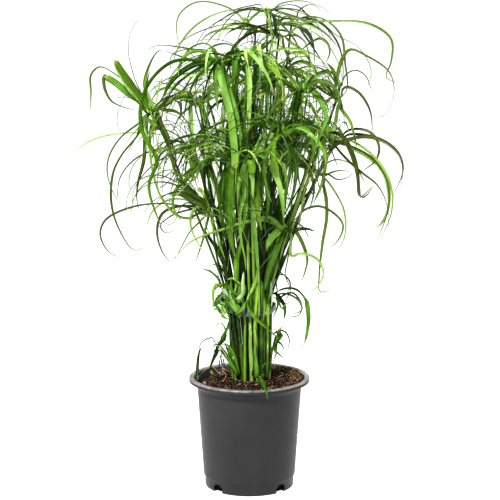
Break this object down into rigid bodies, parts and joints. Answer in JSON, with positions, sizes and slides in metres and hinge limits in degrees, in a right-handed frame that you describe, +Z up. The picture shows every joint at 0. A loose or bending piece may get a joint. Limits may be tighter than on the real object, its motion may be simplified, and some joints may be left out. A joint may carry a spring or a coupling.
{
  "type": "potted umbrella sedge",
  "caption": "Tall umbrella sedge in a round plastic nursery pot: upright culms held by a flat strap, each topped by a whorl of long arching leaf-like bracts.",
  "frame": {"origin": "centre of the flat underside of the pot, where it rests on the ground", "axes": "+Z up along the pot's axis, the object's longest way; the pictured side faces -Y and +X is to its right"},
  "size_m": [0.4677, 0.4167, 0.6802],
  "materials": {
    "pot_plastic": "satin",
    "potting_soil": "matte",
    "tie_strap": "matte",
    "culm_green": "satin",
    "bract_green": "satin",
    "young_green": "satin"
  },
  "bodies": {
    "root": {"pot": "pot_plastic", "soil": "potting_soil", "tie": "tie_strap", "culm_01": "culm_green", "culm_02": "culm_green", "culm_03": "culm_green", "culm_04": "culm_green", "culm_05": "culm_green", "culm_06": "culm_green", "culm_07": "culm_green", "culm_08": "culm_green", "culm_09": "culm_green", "culm_10": "culm_green", "culm_11": "culm_green", "culm_12": "culm_green", "culm_13": "culm_green", "culm_14": "culm_green", "culm_15": "culm_green", "culm_16": "culm_green", "culm_17": "culm_green", "culm_18": "culm_green", "culm_19": "culm_green", "culm_20": "culm_green", "culm_21": "culm_green", "culm_22": "culm_green", "culm_23": "culm_green", "culm_24": "culm_green", "culm_25": "culm_green", "bracts_01": "bract_green", "bracts_02": "bract_green", "bracts_03": "bract_green", "bracts_04": "bract_green", "bracts_05": "bract_green", "bracts_06": "bract_green", "bracts_07": "bract_green", "bracts_08": "bract_green", "bracts_09": "bract_green", "bracts_10": "bract_green", "bracts_11": "bract_green", "bracts_12": "bract_green", "bracts_13": "bract_green", "bracts_14": "bract_green", "bracts_15": "bract_green", "bracts_16": "bract_green", "bracts_17": "bract_green", "bracts_18": "bract_green", "bracts_19": "bract_green", "bracts_20": "bract_green", "bracts_21": "bract_green", "bracts_22": "bract_green", "bracts_23": "bract_green", "bracts_24": "bract_green", "bracts_25": "bract_green", "shoot_01": "young_green", "shoot_02": "young_green", "shoot_03": "young_green", "shoot_04": "young_green", "shoot_05": "young_green", "shoot_06": "young_green"}
  },
  "joints": []
}
